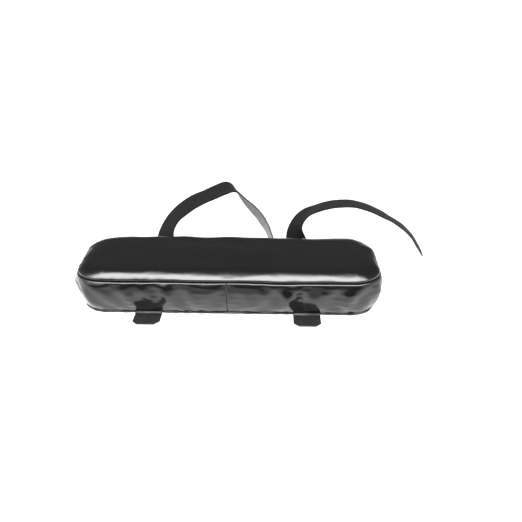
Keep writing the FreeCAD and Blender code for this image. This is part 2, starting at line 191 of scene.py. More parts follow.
def top_profile(count, crown=SOFT_CROWN):
    """Free part of the top panel, from the ring inward of the crown out to the seam's rim."""
    tilt, centre = crown_fit(crown)
    flat = centre - RING
    length = -flat + crown * (math.pi / 2 - tilt)
    run = np.linspace(0, length, count)
    turn = np.clip((run + flat) / crown, 0, None)
    level = np.minimum(run + flat, 0)
    inset = centre - level - crown * np.sin(turn)
    height = TOP_FLAT - crown + crown * np.cos(turn)
    return np.stack([inset, height], axis=1)


def top_rim(crown=SOFT_CROWN):
    """Turned edge of the top panel, from the crown into the seam."""
    tilt, _ = crown_fit(crown)
    centre = (TOP_EDGE + RIM * math.cos(tilt), TOP_SEAM + SEAM_GAP + RIM)
    bend = arc(centre, RIM, math.degrees(tilt), -90, 9)[1:]
    return np.vstack([bend, [[bend[-1, 0] + 1.0, bend[-1, 1]], [bend[-1, 0] + 2.2, bend[-1, 1]]]])


SKIN = 0.6
BAND_PULL = 22.0
BAND_START_TILT = 33.0
BAND_END_TILT = -38.0
BAND_TOP_CENTRE = (1.9, TOP_SEAM - SEAM_GAP - RIM)
LOW_RIM = 0.9
BAND_LOW_CENTRE = (5.1, BOTTOM_SEAM + 0.05 + LOW_RIM)


def band_profile(count):
    """Free part of the side band, from the rim at the top seam to the rim at the bottom seam."""
    first = arc(BAND_TOP_CENTRE, RIM, BAND_START_TILT, BAND_START_TILT, 1)[0]
    last = arc(BAND_LOW_CENTRE, LOW_RIM, BAND_END_TILT, BAND_END_TILT, 1)[0]
    t = np.linspace(0, 1, 400)[:, None]
    a, b = math.radians(BAND_START_TILT), math.radians(BAND_END_TILT)
    leave = BAND_PULL * np.array([-math.sin(a), -math.cos(a)])
    arrive = BAND_PULL * np.array([-math.sin(b), -math.cos(b)])
    curve = (
        (2 * t**3 - 3 * t**2 + 1) * first
        + (t**3 - 2 * t**2 + t) * leave
        + (-2 * t**3 + 3 * t**2) * last
        + (t**3 - t**2) * arrive
    )
    steps = run_along(curve)
    marks = np.linspace(0, steps[-1], count)
    return np.stack([np.interp(marks, steps, curve[:, i]) for i in (0, 1)], axis=1)


def band_rims():
    """Turned edges of the band, at the top seam and at the bottom seam."""
    upper = arc(BAND_TOP_CENTRE, RIM, 90, BAND_START_TILT, 7)[:-1]
    lower = arc(BAND_LOW_CENTRE, LOW_RIM, BAND_END_TILT, -90, 7)[1:]
    upper = np.vstack([[upper[0] + (2.0, 0)], [upper[0] + (0.9, 0)], upper])
    lower = np.vstack([lower, [lower[-1] + (0.9, 0)], [lower[-1] + (2.0, 0)]])
    return upper, lower


# ---------------------------------------------------------------- cloth simulation of the cover

SIM_TOP_ROWS = 8
SIM_BAND_ROWS = 12
SIM_LONG, SIM_SHORT = 100, 29
SIM_SCALE = 0.01
SIM_FRAMES = 18
MOST_MOVE = 3.2
TOP_HELD = 0.2
SIM_ROW_PITCH = 2.6
TOP_SPARE = 0.35
SPARE_CLOTH = 0.09
STUFFING = 1.6


def simulate_cover():
    """Displacements (rows, columns, 3) of the top ring and the band, held along both seams."""
    along = side_by_side(SIM_LONG, SIM_SHORT)
    columns = len(along)
    top, band = top_profile(SIM_TOP_ROWS), band_profile(SIM_BAND_ROWS)
    foot = np.array([[5.1, 0.0]])
    profile = np.vstack([top, band, foot])
    ones = np.ones(columns)
    rest = around(along, profile[:, :1] * ones, profile[:, 1:] * ones)
    rows = len(profile)
    held = np.zeros(rows, bool)
    held[[0, SIM_TOP_ROWS - 1, SIM_TOP_ROWS, rows - 2, rows - 1]] = True
    _, outward = plan(along)
    start = rest.copy()
    rows_at = np.arange(rows)[:, None] * SIM_ROW_PITCH
    bumps = waves(5, along[None], rows_at, (14, 50), 26, 0.4) * 0.3
    free = (~held)[:, None]
    start[..., 0] += bumps * free * outward[None, :, 0]
    start[..., 1] += bumps * free * outward[None, :, 1]
    start[:SIM_TOP_ROWS, :, 2] += (bumps * free)[:SIM_TOP_ROWS]
    index = np.arange(rows * columns).reshape(rows, columns)
    faces = tube_faces(rows, columns)
    mesh = bpy.data.meshes.new("cover_sim")
    mesh.from_pydata((start.reshape(-1, 3) * SIM_SCALE).tolist(), [], faces)
    piece = bpy.data.objects.new("cover_sim", mesh)
    scene.collection.objects.link(piece)
    pins = piece.vertex_groups.new(name="held")
    pins.add([int(v) for v in index[held].ravel()], 1.0, "REPLACE")
    spare = piece.vertex_groups.new(name="spare")
    spare.add([int(v) for v in index[SIM_TOP_ROWS:].ravel()], 1.0, "REPLACE")
    spare.add([int(v) for v in index[:SIM_TOP_ROWS].ravel()], TOP_SPARE, "REPLACE")
    cloth = piece.modifiers.new("cloth", "CLOTH")
    settings = cloth.settings
    settings.quality = 4
    settings.mass = 0.15
    settings.tension_stiffness = 15
    settings.compression_stiffness = 15
    settings.shear_stiffness = 6
    settings.bending_stiffness = 0.15
    settings.tension_damping = 8
    settings.compression_damping = 8
    settings.shear_damping = 8
    settings.bending_damping = 1
    settings.air_damping = 2
    settings.vertex_group_mass = "held"
    settings.vertex_group_shrink = "spare"
    settings.shrink_min = 0.0
    settings.shrink_max = -SPARE_CLOTH
    settings.use_pressure = True
    settings.uniform_pressure_force = STUFFING
    settings.pressure_factor = 1.0
    settings.effector_weights.gravity = 0
    cloth.collision_settings.use_collision = False
    cloth.collision_settings.use_self_collision = False
    cloth.point_cache.frame_start = 1
    cloth.point_cache.frame_end = SIM_FRAMES
    for step in range(1, SIM_FRAMES + 1):
        scene.frame_set(step)
    evaluated = piece.evaluated_get(bpy.context.evaluated_depsgraph_get())
    moved = np.zeros(rows * columns * 3)
    evaluated.data.vertices.foreach_get("co", moved)
    shift = moved.reshape(rows, columns, 3) / SIM_SCALE - rest
    scene.frame_set(1)
    bpy.data.objects.remove(piece)
    for _ in range(2):
        shift = (np.roll(shift, 1, axis=1) + 2 * shift + np.roll(shift, -1, axis=1)) / 4
    shift[held] = 0
    shift[:SIM_TOP_ROWS] *= TOP_HELD
    length = np.linalg.norm(shift, axis=2, keepdims=True)
    print("cover simulation: largest move", round(float(length.max()), 2), "mm, mean",
          round(float(length.mean()), 2))
    return shift / np.maximum(1, length / MOST_MOVE)


def on_fine(shift, along, row_places):
    """Simulated displacements at fine columns and rows, turned with the outline's corners."""
    coarse = side_by_side(SIM_LONG, SIM_SHORT)
    _, outward = plan(coarse)
    tangent = sideways(outward)
    local = np.stack(
        [
            shift[..., 0] * outward[:, 0] + shift[..., 1] * outward[:, 1],
            shift[..., 0] * tangent[:, 0] + shift[..., 1] * tangent[:, 1],
            shift[..., 2],
        ],
        axis=2,
    )
    wrapped = np.mod(along - coarse[0], AROUND)
    ends = np.concatenate([coarse - coarse[0], [AROUND]])
    columns = np.interp(wrapped, ends, np.arange(len(ends)))
    by_row = cubic(local, row_places, False)
    by_column = cubic(by_row.transpose(1, 0, 2), columns, True).transpose(1, 0, 2)
    _, outward = plan(along)
    tangent = sideways(outward)
    flat = by_column[..., :1] * outward[None] + by_column[..., 1:2] * tangent[None]
    return np.concatenate([flat, by_column[..., 2:]], axis=2)


# ---------------------------------------------------------------- meshes

def mesh_piece(name, points, faces, material, node, body=None):
    """A new object from points in millimetres, which shows one CAD node and may ride a body."""
    mesh = bpy.data.meshes.new(name)
    mesh.from_pydata((np.asarray(points) * MM).tolist(), [], [list(map(int, f)) for f in faces])
    mesh.validate()
    mesh.polygons.foreach_set("use_smooth", [True] * len(mesh.polygons))
    mesh.materials.append(material)
    piece = bpy.data.objects.new(name, mesh)
    scene.collection.objects.link(piece)
    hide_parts(node)
    if body:
        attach(piece, body)
    return piece


def quads_of(rows, columns, closed):
    """Faces of a grid, whose columns may close. Normals point out where the rows go down."""
    index = np.arange(rows * columns).reshape(rows, columns)
    if closed:
        left, right = index, np.roll(index, -1, axis=1)
    else:
        left, right = index[:, :-1], index[:, 1:]
    return np.stack([left[:-1], left[1:], right[1:], right[:-1]], axis=-1).reshape(-1, 4)


def tube_faces(rows, columns, flip=False):
    """Faces of a tube of rings with both ends capped; flip is for rings that turn the other way."""
    index = np.arange(rows * columns).reshape(rows, columns)
    ahead = np.roll(index, -1, axis=1)
    if flip:
        sides, caps = [index[:-1], ahead[:-1], ahead[1:], index[1:]], [index[0][::-1], index[-1]]
    else:
        sides, caps = [index[:-1], index[1:], ahead[1:], ahead[:-1]], [index[0], index[-1][::-1]]
    return np.stack(sides, axis=-1).reshape(-1, 4).tolist() + [cap.tolist() for cap in caps]


def circles(one, two, sides):
    """Circles of radius 1 in the planes of two rows of directions."""
    turn = np.linspace(0, 2 * math.pi, sides, endpoint=False)[None, :, None]
    return np.cos(turn) * one[:, None] + np.sin(turn) * two[:, None]


def thicken(piece, thickness):
    """Give a skin its thickness, inward."""
    solid = piece.modifiers.new("thickness", "SOLIDIFY")
    solid.thickness = thickness * MM
    solid.offset = -1
    solid.use_rim = True


def middle_grid(loop, long_count, short_count):
    """Inner points and faces that fill a closed loop which starts at a diagonal of the plan.

    Returns the new points, of shape (n, 3), and faces whose indices run over loop, then new points.
    """
    low = loop[: long_count + 1]
    right = loop[long_count : long_count + short_count + 1]
    high = loop[long_count + short_count : 2 * long_count + short_count + 1][::-1]
    left = np.vstack([loop[2 * long_count + short_count :], loop[:1]])[::-1]
    u = (np.arange(long_count + 1) / long_count)[:, None, None]
    v = (np.arange(short_count + 1) / short_count)[None, :, None]
    grid = (
        (1 - v) * low[:, None]
        + v * high[:, None]
        + (1 - u) * left[None]
        + u * right[None]
        - (1 - u) * (1 - v) * low[0]
        - u * (1 - v) * low[-1]
        - (1 - u) * v * high[0]
        - u * v * high[-1]
    )
    index = np.full((long_count + 1, short_count + 1), -1)
    around_count = len(loop)
    index[:, 0] = np.arange(long_count + 1)
    index[-1, :] = long_count + np.arange(short_count + 1)
    index[:, -1] = (long_count + short_count + np.arange(long_count + 1))[::-1]
    index[0, :] = ((2 * long_count + short_count + np.arange(short_count + 1)) % around_count)[::-1]
    inner = index < 0
    index[inner] = around_count + np.arange(inner.sum())
    faces = np.stack([index[:-1, :-1], index[1:, :-1], index[1:, 1:], index[:-1, 1:]], axis=-1)
    return grid[inner], faces.reshape(-1, 4)


# ---------------------------------------------------------------- materials

def new_material(name):
    material = bpy.data.materials.new(name)
    material.use_nodes = True
    tree = material.node_tree
    return material, Tree(tree), tree.nodes["Principled BSDF"]


class Tree:
    """Short calls for making and joining shader nodes."""

    def __init__(self, tree):
        self.tree = tree

    def add(self, kind, inputs=None, **props):
        node = self.tree.nodes.new(kind)
        for key, value in props.items():
            setattr(node, key, value)
        self.fill(node, inputs or {})
        return node

    def fill(self, node, inputs):
        """Set a node's inputs, or join them to other nodes' outputs."""
        for key, value in inputs.items():
            if isinstance(value, bpy.types.NodeSocket):
                self.tree.links.new(value, node.inputs[key])
            else:
                node.inputs[key].default_value = value

    def link(self, output, socket):
        self.tree.links.new(output, socket)

    def place(self):
        """Object coordinates in millimetres."""
        coords = self.add("ShaderNodeTexCoord")
        scaled = self.add("ShaderNodeVectorMath", operation="SCALE")
        self.link(coords.outputs["Object"], scaled.inputs[0])
        scaled.inputs["Scale"].default_value = 1 / MM
        return scaled.outputs["Vector"]

    def noise(self, place, scale, detail=3.0, roughness=0.55):
        node = self.add(
            "ShaderNodeTexNoise",
            {"Vector": place, "Scale": scale, "Detail": detail, "Roughness": roughness},
        )
        return node.outputs["Fac"]

    def between(self, value, low, high, to_low, to_high):
        node = self.add("ShaderNodeMapRange", {
            "Value": value, "From Min": low, "From Max": high, "To Min": to_low, "To Max": to_high
        })
        return node.outputs["Result"]

    def math(self, operation, a, b=0.0):
        return self.add("ShaderNodeMath", {0: a, 1: b}, operation=operation).outputs["Value"]

    def sine(self, value, pitch):
        return self.math("SINE", self.math("MULTIPLY", value, 2 * math.pi / pitch))

    def ridges(self, value, pitch):
        """Smooth ridges from 0 to 1 across a coordinate."""
        return self.between(self.sine(value, pitch), -1, 1, 0, 1)

    def mix(self, factor, a, b):
        node = self.add("ShaderNodeMix", data_type="RGBA")
        for key, value in (("Factor", factor), ("A", a), ("B", b)):
            socket = [s for s in node.inputs if s.name == key and s.enabled][0]
            if isinstance(value, bpy.types.NodeSocket):
                self.link(value, socket)
            else:
                socket.default_value = value
        return [s for s in node.outputs if s.enabled][0]

    def bump(self, height, distance, strength=1.0, after=None):
        node = self.add(
            "ShaderNodeBump", {"Height": height, "Distance": distance * MM, "Strength": strength}
        )
        if after is not None:
            self.link(after, node.inputs["Normal"])
        return node.outputs["Normal"]


def leathercloth():
    """Black coated cloth: fine pebble grain under a semi-gloss skin, rubbed along the seams."""
    material, tree, shader = new_material("leathercloth")
    place = tree.place()
    pebble = tree.add(
        "ShaderNodeTexVoronoi",
        {"Vector": place, "Scale": 1.5, "Randomness": 0.9},
        feature="SMOOTH_F1",
    ).outputs["Distance"]
    fine = tree.noise(place, 3.2, 2.0)
    broad = tree.noise(place, 0.045, 2.0)
    patch = tree.noise(place, 0.16, 3.0)
    rub = tree.add("ShaderNodeAttribute", attribute_name="seam_rub").outputs["Fac"]
    base = tree.mix(broad, (0.0024, 0.0024, 0.0027, 1), (0.0042, 0.0042, 0.0047, 1))
    colour = tree.mix(rub, base, (0.011, 0.011, 0.0115, 1))
    tree.link(colour, shader.inputs["Base Color"])
    rough = tree.between(patch, 0.3, 0.7, 0.2, 0.235)
    rough = tree.math("ADD", rough, tree.math("MULTIPLY", fine, 0.02))
    rough = tree.math("ADD", rough, tree.math("MULTIPLY", rub, 0.04))
    tree.link(rough, shader.inputs["Roughness"])
    tree.fill(shader, {"IOR": 1.54, "Coat Weight": 0.25, "Coat Roughness": 0.1})
    normal = tree.bump(broad, 0.4, 0.2)
    normal = tree.bump(pebble, 0.026, 0.5, normal)
    normal = tree.bump(fine, 0.009, 0.5, normal)
    tree.link(normal, shader.inputs["Normal"])
    return material


def foam_material():
    """Pale open-cell foam."""
    material, tree, shader = new_material("foam")
    place = tree.place()
    cells = tree.add(
        "ShaderNodeTexVoronoi", {"Vector": place, "Scale": 1.1}, feature="DISTANCE_TO_EDGE"
    ).outputs["Distance"]
    tone = tree.noise(place, 0.08, 2.0)
    colour = tree.mix(tone, (0.72, 0.66, 0.5, 1), (0.82, 0.77, 0.63, 1))
    tree.link(colour, shader.inputs["Base Color"])
    shader.inputs["Roughness"].default_value = 0.9
    tree.link(tree.bump(cells, 0.3, 0.8), shader.inputs["Normal"])
    return material


def thread_material():
    """Black spun thread with a twist."""
    material, tree, shader = new_material("thread")
    place = tree.place()
    twist = tree.add(
        "ShaderNodeTexWave",
        {"Vector": place, "Scale": 1.6, "Distortion": 1.5},
        bands_direction="DIAGONAL",
    ).outputs["Fac"]
    colour = tree.mix(twist, (0.008, 0.008, 0.009, 1), (0.02, 0.02, 0.021, 1))
    tree.link(colour, shader.inputs["Base Color"])
    tree.fill(shader, {"Roughness": 0.55, "Sheen Weight": 0.25})
    tree.link(tree.bump(twist, 0.05, 0.7), shader.inputs["Normal"])
    return material


def weave_height(tree, across, along, pitch_across, pitch_along):
    """Height of a plain rib weave from two coordinates in millimetres."""
    product = tree.math("MULTIPLY", tree.sine(across, pitch_across), tree.sine(along, pitch_along))
    return tree.between(product, -1, 1, 0, 1)


def tape_coordinates(tree):
    """The two coordinates stored on a tape's points: across it and along it, in millimetres."""
    across = tree.add("ShaderNodeAttribute", attribute_name="across").outputs["Fac"]
    along = tree.add("ShaderNodeAttribute", attribute_name="along").outputs["Fac"]
    return across, along


def loop_material():
    """Brushed loop pile, black and matt, with a soft sheen and combed streaks."""
    material, tree, shader = new_material("loop_pile")
    place = tree.place()
    across, along = tape_coordinates(tree)
    tufts = tree.noise(place, 1.5, 5.0, 0.7)
    patches = tree.noise(place, 0.16, 3.0)
    drawn_out = tree.math("MULTIPLY", along, 0.22)
    streaks = tree.add("ShaderNodeCombineXYZ", {"X": across, "Y": drawn_out})
    combed = tree.noise(streaks.outputs["Vector"], 1.3, 3.0)
    tone = tree.math("ADD", tree.math("MULTIPLY", tufts, 0.6), tree.math("MULTIPLY", combed, 0.4))
    dark = tree.mix(tone, (0.0004, 0.0004, 0.0005, 1), (0.0062, 0.0062, 0.0066, 1))
    colour = tree.mix(tree.math("MULTIPLY", patches, 0.3), dark, (0.003, 0.003, 0.0032, 1))
    tree.link(colour, shader.inputs["Base Color"])
    tree.fill(shader, {
        "Roughness": 0.85,
        "Specular IOR Level": 0.12,
        "Sheen Weight": 0.05,
        "Sheen Roughness": 0.45,
    })
    normal = tree.bump(combed, 0.25, 0.5)
    tree.link(tree.bump(tufts, 0.35, 0.8, normal), shader.inputs["Normal"])
    return material


def backing_material():
    """Woven nylon back of the strap, greyer and slightly glossy, with fine ribs across."""
    material, tree, shader = new_material("woven_back")
    across, along = tape_coordinates(tree)
    place = tree.place()
    ribs = weave_height(tree, across, along, 0.9, 0.7)
    slant = tree.math("ADD", across, tree.math("MULTIPLY", along, 0.55))
    twill = tree.ridges(slant, 1.8)
    tone = tree.math("ADD", tree.math("MULTIPLY", ribs, 0.5), tree.math("MULTIPLY", twill, 0.5))
    uneven = tree.noise(place, 0.2, 3.0)
    colour = tree.mix(tone, (0.03, 0.03, 0.032, 1), (0.075, 0.075, 0.078, 1))
    colour = tree.mix(tree.math("MULTIPLY", uneven, 0.35), colour, (0.05, 0.05, 0.052, 1))
    tree.link(colour, shader.inputs["Base Color"])
    tree.fill(shader, {"Roughness": 0.48, "Sheen Weight": 0.3})
    normal = tree.bump(twill, 0.08, 0.5)
    tree.link(tree.bump(ribs, 0.1, 0.7, normal), shader.inputs["Normal"])
    return material


def hook_material(name, colour_low, colour_high, roughness):
    """Moulded nylon of the hooks, or of the zip's chain."""
    material, tree, shader = new_material(name)
    place = tree.place()
    tone = tree.noise(place, 0.6, 2.0)
    fine = tree.noise(place, 4.0, 2.0)
    tree.link(tree.mix(tone, colour_low, colour_high), shader.inputs["Base Color"])
    rough = tree.between(fine, 0.3, 0.7, roughness - 0.06, roughness + 0.08)
    tree.link(rough, shader.inputs["Roughness"])
    tree.link(tree.bump(fine, 0.01, 0.5), shader.inputs["Normal"])
    return material


def tape_material():
    """Woven zip tape in black polyester, with a herringbone of two slants."""
    material, tree, shader = new_material("zip_tape_weave")
    across, along = tape_coordinates(tree)
    folded = tree.math("PINGPONG", across, 1.6)
    slant = tree.math("ADD", along, tree.math("MULTIPLY", folded, 1.1))
    ribs = tree.ridges(slant, 0.8)
    uneven = tree.noise(tree.place(), 0.4, 3.0)
    tone = tree.math("ADD", tree.math("MULTIPLY", ribs, 0.7), tree.math("MULTIPLY", uneven, 0.3))
    colour = tree.mix(tone, (0.007, 0.007, 0.008, 1), (0.028, 0.028, 0.03, 1))
    tree.link(colour, shader.inputs["Base Color"])
    tree.fill(shader, {"Roughness": 0.7, "Sheen Weight": 0.3})
    tree.link(tree.bump(ribs, 0.12, 0.8), shader.inputs["Normal"])
    return material


def metal_material():
    """Black enamel on die-cast metal, with bright wear on the corners."""
    material, tree, shader = new_material("black_enamel")
    place = tree.place()
    flecks = tree.noise(place, 1.4, 4.0, 0.7)
    worn = tree.between(flecks, 0.62, 0.72, 0.0, 1.0)
    edge = tree.add("ShaderNodeNewGeometry").outputs["Pointiness"]
    corner = tree.between(edge, 0.52, 0.6, 0.0, 1.0)
    bare = tree.math("MULTIPLY", worn, corner)
    colour = tree.mix(bare, (0.012, 0.012, 0.013, 1), (0.35, 0.34, 0.32, 1))
    tree.link(colour, shader.inputs["Base Color"])
    tree.link(bare, shader.inputs["Metallic"])
    tree.link(tree.between(flecks, 0.3, 0.7, 0.28, 0.42), shader.inputs["Roughness"])
    shader.inputs["Coat Weight"].default_value = 0.4
    tree.link(tree.bump(flecks, 0.02, 0.4), shader.inputs["Normal"])
    return material


GLOW_Y = 10.0
GLOW_NEAR, GLOW_FAR = 70.0, 150.0


def floor_material():
    """Plain pale paper on a light table, whose mirrored glow falls off away from the pad.

    It is clear from below, so that the underside of the pad can be looked at.
    """
    material, tree, shader = new_material("pale_floor")
    place = tree.place()
    split = tree.add("ShaderNodeSeparateXYZ", {"Vector": place})
    distance = tree.math("ABSOLUTE", tree.math("ADD", split.outputs["Y"], -GLOW_Y))
    near = tree.add(
        "ShaderNodeMapRange",
        {"Value": distance, "From Min": GLOW_NEAR, "From Max": GLOW_FAR,
         "To Min": 1.25, "To Max": 0.1},
        interpolation_type="SMOOTHSTEP",
    ).outputs["Result"]
    seen = tree.add("ShaderNodeLightPath").outputs["Is Camera Ray"]
    tree.link(tree.math("MAXIMUM", near, tree.math("MULTIPLY", seen, 0.85)),
              shader.inputs["Emission Strength"])
    grain = tree.noise(place, 0.02, 3.0)
    tree.link(
        tree.mix(grain, (0.19, 0.19, 0.19, 1), (0.22, 0.22, 0.22, 1)), shader.inputs["Base Color"]
    )
    tree.fill(shader, {"Roughness": 0.9, "Specular IOR Level": 0.1, "Emission Color": (1, 1, 1, 1)})
    clear = tree.add("ShaderNodeBsdfTransparent")
    under = tree.add("ShaderNodeNewGeometry").outputs["Backfacing"]
    side = tree.add("ShaderNodeMixShader", {0: under, 1: shader.outputs[0], 2: clear.outputs[0]})
    tree.link(side.outputs[0], tree.tree.nodes["Material Output"].inputs["Surface"])
    return material


LEATHER = leathercloth()
FOAM = foam_material()
THREAD = thread_material()
PILE = loop_material()
BACKING = backing_material()
HOOKS = hook_material("hook_nylon", (0.004, 0.004, 0.0045, 1), (0.012, 0.012, 0.013, 1), 0.42)
CHAIN = hook_material("chain_nylon", (0.01, 0.01, 0.011, 1), (0.022, 0.022, 0.023, 1), 0.36)
ZIP_TAPE = tape_material()
METAL = metal_material()


# ---------------------------------------------------------------- camera

EYE = Vector((36.6, -427.2, 255.8)) * MM
AIM = Vector((26.0, 8.0, 26.0)) * MM
SENSOR = 36.0
LENS = SENSOR * 575.0 / 522.0

camera_data = bpy.data.cameras.new("camera")
camera_data.sensor_width = SENSOR
camera_data.lens = LENS
camera = bpy.data.objects.new("camera", camera_data)
scene.collection.objects.link(camera)
camera.location = EYE
camera.rotation_mode = "QUATERNION"
camera.rotation_quaternion = (AIM - EYE).to_track_quat("-Z", "Y")
scene.camera = camera


# ---------------------------------------------------------------- cover

def seam_line(along):
    """Slow wander of the top seam up and down."""
    return waves(11, along, 0.0, (45, 130), 14) * 0.42


def crown_share(along):
    """How soft the crown is along the outline: 1 at the corners, less along the straights."""
    _, outward = plan(along)
    corner = np.minimum(1, 2.2 * np.abs(outward[:, 0] * outward[:, 1]))
    slow = 0.42 + 0.38 * waves(12, along, 0.0, (90, 240), 10)
    return np.clip(np.maximum(corner, slow), 0.1, 1)


def pucker(seed, along, lengths):
    """Short gathers along a seam."""
    return waves(seed, along, 0.0, lengths, 40)


def store(piece, name, values):
    attribute = piece.data.attributes.new(name, "FLOAT", "POINT")
    attribute.data.foreach_set("value", np.asarray(values, np.float32).ravel())


SHIFT = simulate_cover()

FINE_LONG, FINE_SHORT = 300, 88
GATHER_TILT = math.radians(60)


def make_cover_top():
    """The crowned top panel, down to its turned edge in the seam."""
    along = side_by_side(FINE_LONG, FINE_SHORT)
    free_rows = 34
    soft = np.vstack([top_profile(free_rows, SOFT_CROWN), top_rim(SOFT_CROWN)])
    tight = np.vstack([top_profile(free_rows, TIGHT_CROWN), top_rim(TIGHT_CROWN)])
    share = crown_share(along)[None]
    profile = (soft + tight) / 2
    rows = len(profile)
    ones = np.ones(len(along))
    inset, height = (soft[:, i : i + 1] * share + tight[:, i : i + 1] * (1 - share) for i in (0, 1))
    points = around(along, inset, height)
    places = np.clip(np.arange(rows) / (free_rows - 1), 0, 1) * (SIM_TOP_ROWS - 1)
    points += on_fine(SHIFT[:SIM_TOP_ROWS], along, places)
    _, outward = plan(along)
    steps = np.linalg.norm(np.diff(profile, axis=0), axis=1)
    from_seam = np.concatenate([np.cumsum(steps[::-1])[::-1], [0]])
    from_rim = np.clip(from_seam - from_seam[free_rows], 0, None)[:, None]
    sink = np.exp(-from_rim / 9.0)
    points[..., 2] += seam_line(along)[None] * sink
    gather = pucker(21, along, (6, 14))[None] * 0.05 * np.exp(-from_rim / 2.6)
    gather += pucker(22, along, (22, 60))[None] * 0.16 * np.exp(-((from_rim - 5) / 5.0) ** 2)
    gather *= smooth(from_seam, 1.0, 3.4)[:, None]
    points[..., 2] += gather * math.sin(GATHER_TILT)
    points[..., :2] += gather[..., None] * outward[None] * math.cos(GATHER_TILT)
    middle, faces = middle_grid(points[0], FINE_LONG, FINE_SHORT)
    dome_x = np.clip(1 - (middle[:, 0] / (HALF_LENGTH - RING)) ** 2, 0, 1)
    dome_y = np.clip(1 - (middle[:, 1] / (HALF_WIDTH - RING)) ** 2, 0, 1)
    dome = (dome_x * dome_y) ** 2
    middle[:, 2] += 0.55 * dome
    draw = np.random.default_rng(31)
    for _ in range(16):
        turn, length = draw.random() * math.pi, 26 + 60 * draw.random()
        phase = draw.random() * 2 * math.pi
        wave = np.cos(
            2 * math.pi * (middle[:, 0] * math.cos(turn) + middle[:, 1] * math.sin(turn)) / length
            + phase
        )
        middle[:, 2] += 0.045 * wave * np.sqrt(dome)
    count = len(along)
    everything = np.vstack([points.reshape(-1, 3), middle])
    all_faces = np.vstack(
        [quads_of(rows, count, True), np.where(faces < count, faces, faces + (rows - 1) * count)]
    )
    piece = mesh_piece("cover_top", everything, all_faces, LEATHER,
                       "top_panel")
    rub = np.exp(-from_rim / 1.2) * smooth(from_seam, 1.2, 3.0)[:, None] * ones
    rub *= np.clip(0.55 + 0.45 * pucker(23, along, (9, 50)), 0, 1)[None]
    store(piece, "seam_rub", np.concatenate([rub.ravel(), np.zeros(len(middle))]))
    thicken(piece, SKIN)
    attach(piece, "pad")


def make_cover_band():
    """The side band, one strip whose two turned ends meet at the middle of the front."""
    half = 308
    first = AROUND / 2 * np.linspace(0, 1, half + 1)
    first = first[first > 3.0]
    close = np.linspace(0.75, 3.0, 9)
    near_end = np.array([0.06, 0.06, 0.08, 0.17, 0.32, 0.51])
    depth_end = np.array([2.4, 1.2, 0.62, 0.33, 0.14, 0.035])
    left = np.concatenate([near_end, close, first])
    left_depth = np.concatenate([depth_end, np.zeros(len(close) + len(first))])
    right = AROUND - left[::-1][1:]
    along = np.concatenate([left, right])
    depth = np.concatenate([left_depth, left_depth[::-1][1:]])
    free_rows = 44
    upper, lower = band_rims()
    free = band_profile(free_rows)
    profile = np.vstack([upper, free, lower])
    rows = len(profile)
    ones = np.ones(len(along))
    points = around(along, profile[:, :1] * ones, profile[:, 1:] * ones)
    at = np.clip((np.arange(rows) - len(upper)) / (free_rows - 1), 0, 1)
    shift = SHIFT[SIM_TOP_ROWS : SIM_TOP_ROWS + SIM_BAND_ROWS]
    points += on_fine(shift, along, at * (SIM_BAND_ROWS - 1))
    _, outward = plan(along)
    down = run_along(profile)
    from_top = np.clip(down - down[len(upper)], 0, None)[:, None]
    from_low = np.clip(down[len(upper) + free_rows - 1] - down, 0, None)[:, None]
    points[..., 2] += seam_line(along)[None] * np.exp(-from_top / 8.0)
    push = pucker(41, along, (8, 18))[None] * 0.05 * np.exp(-from_top / 3.0)
    push += pucker(42, along, (14, 34))[None] * 0.26 * np.exp(-((from_top - 6) / 5.0) ** 2)
    push += pucker(43, along, (10, 30))[None] * 0.12 * np.exp(-from_low / 5.0)
    folds = waves(45, along[None], from_top, (15, 36), 30, 0.45)
    push += 0.62 * folds * smooth(from_top, 2, 11) * smooth(from_low, 0.5, 8)
    edge = np.minimum(down, down[-1] - down)[:, None]
    push *= smooth(edge, 1.2, 3.6)
    gap = np.minimum(along, AROUND - along)
    pinch = np.exp(-gap / 4.0)
    push *= 1 - 0.7 * pinch
    push -= 0.35 * pinch[None] * smooth(edge, 1.2, 5.0)
    push -= depth[None] * smooth(edge, 0.2, 1.6)
    points[..., :2] += push[..., None] * outward[None]
    piece = mesh_piece("cover_band", points.reshape(-1, 3), quads_of(rows, len(along), False),
                       LEATHER, "side_band")
    rub = np.maximum(np.exp(-from_top / 1.0), 0.7 * np.exp(-from_low / 1.2))
    rub = rub * smooth(edge, 1.2, 2.6)
    rub = np.maximum(rub * ones, 0.8 * np.exp(-gap / 0.8)[None])
    rub *= np.clip(0.55 + 0.45 * pucker(44, along, (9, 50)), 0, 1)[None]
    store(piece, "seam_rub", rub)
    thicken(piece, SKIN)
    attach(piece, "pad")


def slot_loop(along, half_x, half_y, corner, middle_y):
    """A rounded rectangle with one point for each column of the plan outline."""
    wrapped = np.mod(along - FIRST_DIAGONAL, AROUND)
    flat_x, flat_y = half_x - corner, half_y - corner
    turn = corner * math.pi / 2
    spans = [2 * flat_x, turn, 2 * flat_y, turn] * 2
    sides = [2 * flat_x + turn, 2 * flat_y + turn] * 2
    source = np.concatenate([[0], np.cumsum([LONG_SIDE, SHORT_SIDE] * 2)])
    run = np.interp(wrapped, source, np.concatenate([[0], np.cumsum(sides)]))
    centres = [(-flat_x, -flat_y), (flat_x, -flat_y), (flat_x, flat_y), (-flat_x, flat_y)]
    result = np.zeros((len(along), 2))
    begin = -turn / 2
    for index in range(-1, 8):
        inside = (run >= begin - EDGE_SLACK) & (run <= begin + spans[index] + EDGE_SLACK)
        here = run[inside] - begin
        side = (index + index % 2) // 2
        heading = math.radians(90 * side)
        if index % 2:
            out, ahead = heading - math.pi + here / corner, 0.0
        else:
            out, ahead = heading - math.pi / 2, here
        centre = centres[side % 4]
        result[inside, 0] = centre[0] + ahead * math.cos(heading) + corner * np.cos(out)
        result[inside, 1] = centre[1] + ahead * math.sin(heading) + corner * np.sin(out)
        begin += spans[index]
    result[:, 1] += middle_y
    return result


